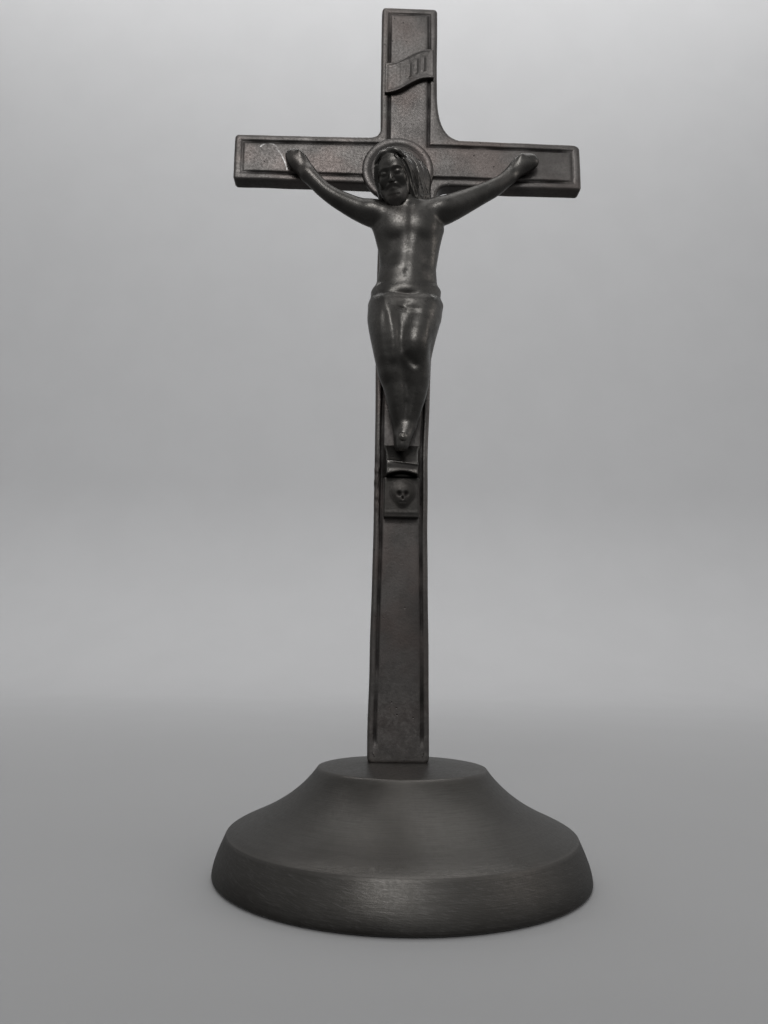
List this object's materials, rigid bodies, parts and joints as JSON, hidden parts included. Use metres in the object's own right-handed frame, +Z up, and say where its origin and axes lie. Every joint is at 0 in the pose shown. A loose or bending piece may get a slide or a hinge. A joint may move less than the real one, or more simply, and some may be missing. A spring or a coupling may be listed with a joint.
{
  "type": "standing crucifix",
  "caption": "Dark pewter standing crucifix: flat engraved Latin cross with figure, nimbus, blank scroll, footrest and skull panel, tenoned into a round turned foot.",
  "frame": {"origin": "centre of the underside of the foot, on the surface that it stands on", "axes": "+Z up along the stem, the front with the figure faces -Y, the crossbar runs along X"},
  "size_m": [0.1054, 0.095, 0.256],
  "materials": {
    "turned_pewter": "satin pewter, turned, with fine marks around it and a dark patina",
    "cast_pewter": "cast pewter, satin, patina dark in the recesses and rubbed lighter on the panels",
    "figure_pewter": "cast pewter, dark patina rubbed bright on the high spots",
    "plate_steel": "plain zinc-plated sheet steel",
    "steel": "zinc-plated steel",
    "pin_brass": "tinned brass wire, dull grey where it shows",
    "felt": "pressed wool felt, charcoal"
  },
  "bodies": {
    "root": {"base_shell": "turned_pewter", "base_plate": "plate_steel", "felt_pad": "felt", "clamp_washer": "steel", "lock_washer": "steel", "fixing_screw": "steel", "cross": "cast_pewter", "corpus": "figure_pewter", "corpus_pin_left_hand": "pin_brass", "corpus_pin_right_hand": "pin_brass", "corpus_pin_back": "pin_brass", "foot_nail": "pin_brass", "nimbus": "cast_pewter", "titulus": "cast_pewter", "footrest": "figure_pewter", "skull_panel": "figure_pewter"}
  },
  "joints": []
}
